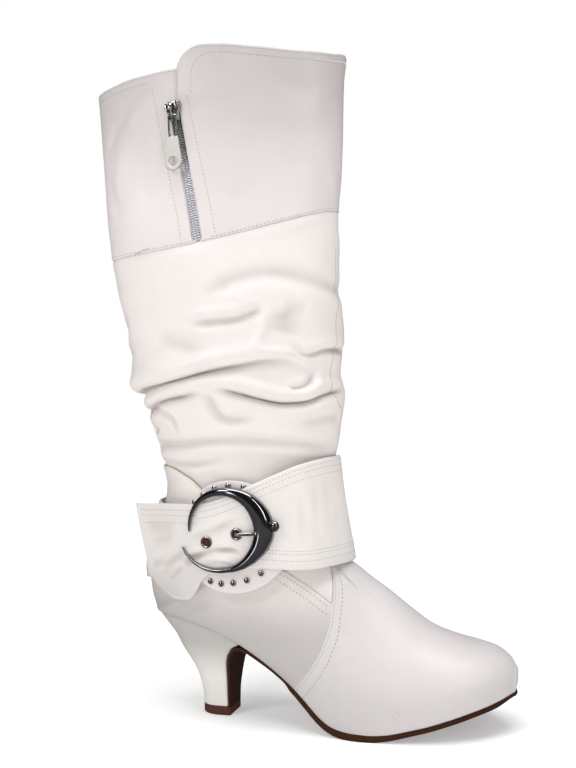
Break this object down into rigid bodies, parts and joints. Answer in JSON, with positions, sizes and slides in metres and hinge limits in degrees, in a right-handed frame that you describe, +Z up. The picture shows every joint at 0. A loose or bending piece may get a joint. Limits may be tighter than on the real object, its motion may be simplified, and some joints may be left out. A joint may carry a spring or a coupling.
{
  "type": "mid-calf boot",
  "caption": "Slouched off-white heeled boot with a lasted upper, gathered leg, zipped cuff, wide ankle strap through a crescent buckle over a studded disc, and a covered spool heel.",
  "frame": {"origin": "on the floor under the middle of the bounding box", "axes": "+X from heel to toe, +Z up, -Y to the outer side of the foot, where the buckle and the zip are"},
  "size_m": [0.269, 0.0948, 0.4275],
  "materials": {
    "upper_leather": "off-white smooth leather with a fine grain and a soft sheen",
    "shaft_leather": "off-white soft leather with a fine grain",
    "cuff_leather": "off-white leather with a fine grain, topstitched",
    "strap_leather": "off-white smooth leather, topstitched in rows",
    "heel_cover": "off-white leather stretched over a hard block",
    "sole_brown": "dark brown, smooth, satin",
    "heel_tip": "brown, matte",
    "insole": "pale tan sock lining, matte",
    "black_nickel": "polished black nickel",
    "bright_nickel": "polished nickel",
    "zip_metal": "dark nickel",
    "pull_metal": "bright silver",
    "zip_tape": "pale grey woven tape"
  },
  "bodies": {
    "boot": {"upper": "upper_leather", "shaft": "shaft_leather", "cuff": "cuff_leather", "outsole": "sole_brown", "insole": "insole", "heel": "heel_cover", "top_piece": "heel_tip", "strap": "strap_leather", "disc": "strap_leather", "buckle": "black_nickel", "prong": "bright_nickel", "eyelet_front": "bright_nickel", "eyelet_rear": "bright_nickel", "stud_top_1": "bright_nickel", "stud_top_2": "bright_nickel", "stud_top_3": "bright_nickel", "stud_top_4": "bright_nickel", "stud_top_5": "bright_nickel", "stud_base_1": "bright_nickel", "stud_base_2": "bright_nickel", "stud_base_3": "bright_nickel", "stud_base_4": "bright_nickel", "stud_base_5": "bright_nickel", "zip_tape": "zip_tape", "zip_slider": "zip_metal"},
    "pull_tab": {"zip_pull": "pull_metal"}
  },
  "joints": [
    {"name": "pull_swing", "type": "hinge", "parent": "boot", "child": "pull_tab", "pos_m": [-0.0641, -0.04182, 0.38579], "axis": [-0.9956, 0.0935, 0], "range_deg": [0, 150]}
  ]
}
